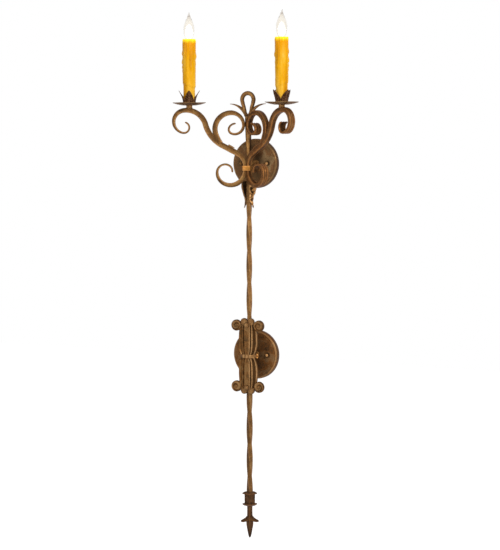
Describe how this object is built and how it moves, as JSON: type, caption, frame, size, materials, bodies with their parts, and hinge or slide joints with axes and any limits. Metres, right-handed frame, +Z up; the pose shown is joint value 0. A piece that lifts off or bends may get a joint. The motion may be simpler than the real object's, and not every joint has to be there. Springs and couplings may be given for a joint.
{
  "type": "wall sconce",
  "caption": "Tall wrought iron wall sconce with a twisted bar, scrolled arms, electric candles on drip pans, a fluted cartouche and a spear point.",
  "frame": {"origin": "middle of the upper canopy's crossbar, on the wall's surface", "axes": "+Z up along the upright, -Y out from the wall into the room, +X to the right as seen from the room"},
  "size_m": [0.3482, 0.1657, 1.3497],
  "materials": {
    "bronzed_forged_iron": "antique bronze over dark iron, edges rubbed bright",
    "bronzed_sheet_steel": "antique bronze, mottled satin",
    "rubbed_brass": "rubbed bronze",
    "nickel_brass": "bright",
    "zinc_steel": "zinc plated",
    "green_ground_screw": "green",
    "amber_candle": "translucent amber, satin",
    "phenolic": "matte",
    "clear_glass": "clear"
  },
  "bodies": {
    "fixture": {"candle_locknuts": "zinc_steel", "cartouche": "bronzed_forged_iron", "collar_band": "rubbed_brass", "finial_collar": "bronzed_forged_iron", "ground_screw": "green_ground_screw", "hanging_loop": "bronzed_forged_iron", "left_arm": "bronzed_forged_iron", "left_arm_clip": "bronzed_forged_iron", "left_barb": "bronzed_forged_iron", "left_centre_contact": "nickel_brass", "left_drip_pan": "bronzed_sheet_steel", "left_inner_scroll": "bronzed_forged_iron", "left_neck": "bronzed_forged_iron", "left_petal_cup": "bronzed_sheet_steel", "left_riser": "zinc_steel", "left_screw_shell": "nickel_brass", "left_socket": "phenolic", "left_top_leaf": "bronzed_forged_iron", "left_wrap_leaf": "bronzed_forged_iron", "lower_canopy": "bronzed_sheet_steel", "lower_crossbar": "zinc_steel", "lower_foot": "bronzed_forged_iron", "lower_standoff": "bronzed_forged_iron", "lower_studs": "zinc_steel", "right_arm": "bronzed_forged_iron", "right_arm_clip": "bronzed_forged_iron", "right_barb": "bronzed_forged_iron", "right_centre_contact": "nickel_brass", "right_drip_pan": "bronzed_sheet_steel", "right_inner_scroll": "bronzed_forged_iron", "right_neck": "bronzed_forged_iron", "right_petal_cup": "bronzed_sheet_steel", "right_riser": "zinc_steel", "right_screw_shell": "nickel_brass", "right_socket": "phenolic", "right_top_leaf": "bronzed_forged_iron", "right_wrap_leaf": "bronzed_forged_iron", "spear_point": "bronzed_forged_iron", "standoff_nuts": "zinc_steel", "twisted_bar": "bronzed_forged_iron", "upper_canopy": "bronzed_sheet_steel", "upper_crossbar": "zinc_steel", "upper_foot": "bronzed_forged_iron", "upper_post": "bronzed_forged_iron", "upper_standoff": "bronzed_forged_iron", "upper_studs": "zinc_steel", "waist_band": "bronzed_forged_iron"},
    "left_bulb": {"left_bulb_cap": "nickel_brass", "left_bulb_glass": "clear_glass", "left_bulb_stem": "clear_glass"},
    "left_cover": {"left_candle_cover": "amber_candle"},
    "right_bulb": {"right_bulb_cap": "nickel_brass", "right_bulb_glass": "clear_glass", "right_bulb_stem": "clear_glass"},
    "right_cover": {"right_candle_cover": "amber_candle"},
    "upper_left_nut": {"upper_left_ball_nut": "rubbed_brass"},
    "upper_right_nut": {"upper_right_ball_nut": "rubbed_brass"},
    "lower_left_nut": {"lower_left_ball_nut": "rubbed_brass"},
    "lower_right_nut": {"lower_right_ball_nut": "rubbed_brass"}
  },
  "joints": [
    {"name": "left_bulb_turn", "type": "hinge", "parent": "fixture", "child": "left_bulb", "pos_m": [-0.13068, -0.12319, 0.3], "axis": [0, 0, 1], "range_deg": [0, 1440]},
    {"name": "left_cover_lift", "type": "slide", "parent": "fixture", "child": "left_cover", "axis": [0, 0, 1], "range_m": [0, 0.01]},
    {"name": "right_bulb_turn", "type": "hinge", "parent": "fixture", "child": "right_bulb", "pos_m": [0.13068, -0.12319, 0.3], "axis": [0, 0, 1], "range_deg": [0, 1440]},
    {"name": "right_cover_lift", "type": "slide", "parent": "fixture", "child": "right_cover", "axis": [0, 0, 1], "range_m": [0, 0.01]},
    {"name": "upper_left_nut_turn", "type": "hinge", "parent": "fixture", "child": "upper_left_nut", "pos_m": [-0.0365, -0.02, 0], "axis": [0, 1, 0], "continuous": true},
    {"name": "upper_right_nut_turn", "type": "hinge", "parent": "fixture", "child": "upper_right_nut", "pos_m": [0.0365, -0.02, 0], "axis": [0, 1, 0], "continuous": true},
    {"name": "lower_left_nut_turn", "type": "hinge", "parent": "fixture", "child": "lower_left_nut", "pos_m": [-0.0365, -0.02, -0.493], "axis": [0, 1, 0], "continuous": true},
    {"name": "lower_right_nut_turn", "type": "hinge", "parent": "fixture", "child": "lower_right_nut", "pos_m": [0.0365, -0.02, -0.493], "axis": [0, 1, 0], "continuous": true}
  ]
}
